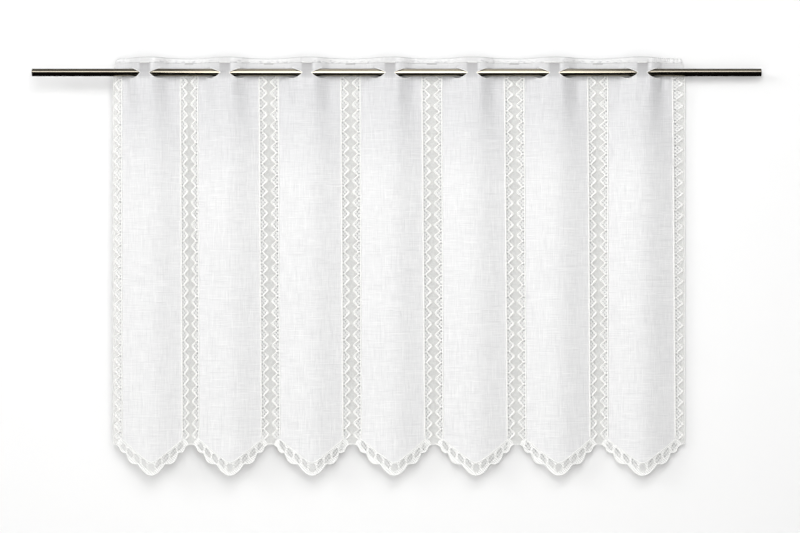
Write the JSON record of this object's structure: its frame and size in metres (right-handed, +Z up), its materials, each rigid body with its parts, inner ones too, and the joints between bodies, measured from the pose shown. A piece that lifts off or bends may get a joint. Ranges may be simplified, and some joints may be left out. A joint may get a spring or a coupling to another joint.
{
  "type": "cafe curtain on rod",
  "caption": "White knitted lace cafe curtain with pointed, scalloped panels, woven through eyelets onto a plain round metal rod.",
  "frame": {"origin": "centre of the rod's left end face, as seen from the room", "axes": "+X along the rod towards its right end, -Y out of the window towards the room, +Z up"},
  "size_m": [1.044, 0.0176, 0.5992],
  "materials": {
    "lace_cloth": "matte white knitted polyester, linen-look panels with sheer lace strips",
    "rod_metal": "polished antique brass plating"
  },
  "bodies": {
    "root": {"curtain_cloth": "lace_cloth", "rod": "rod_metal"}
  },
  "joints": []
}
